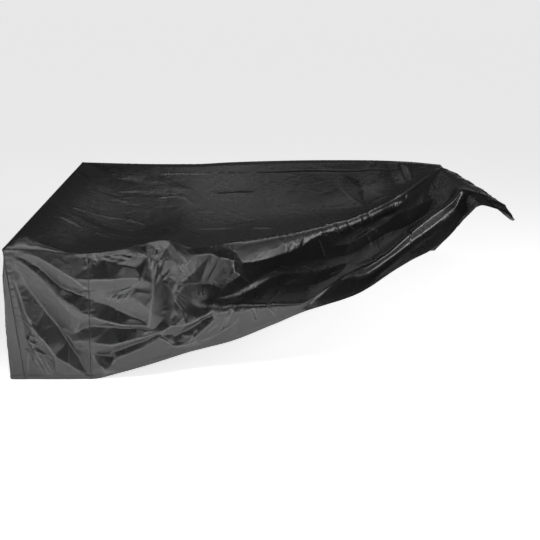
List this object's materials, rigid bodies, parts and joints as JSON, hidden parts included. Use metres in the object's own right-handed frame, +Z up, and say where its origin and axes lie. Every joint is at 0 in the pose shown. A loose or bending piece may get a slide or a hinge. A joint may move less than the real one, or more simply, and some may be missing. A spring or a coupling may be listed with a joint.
{
  "type": "patio furniture cover",
  "caption": "Fitted black cloth cover for a garden seating set, draped hollow over the seats and drawn up and back at one end.",
  "frame": {"origin": "on the floor, under the middle of the draped cover", "axes": "+X along the length towards the end that is drawn back, +Y from the front to the back, +Z up"},
  "size_m": [2.8243, 2.2261, 0.8106],
  "materials": {
    "cover_cloth": "black woven polyester with a slight sheen"
  },
  "bodies": {
    "root": {"top_panel": "cover_cloth", "skirt_front_left": "cover_cloth", "skirt_front": "cover_cloth", "skirt_left": "cover_cloth", "skirt_back": "cover_cloth", "skirt_right": "cover_cloth"}
  },
  "joints": []
}
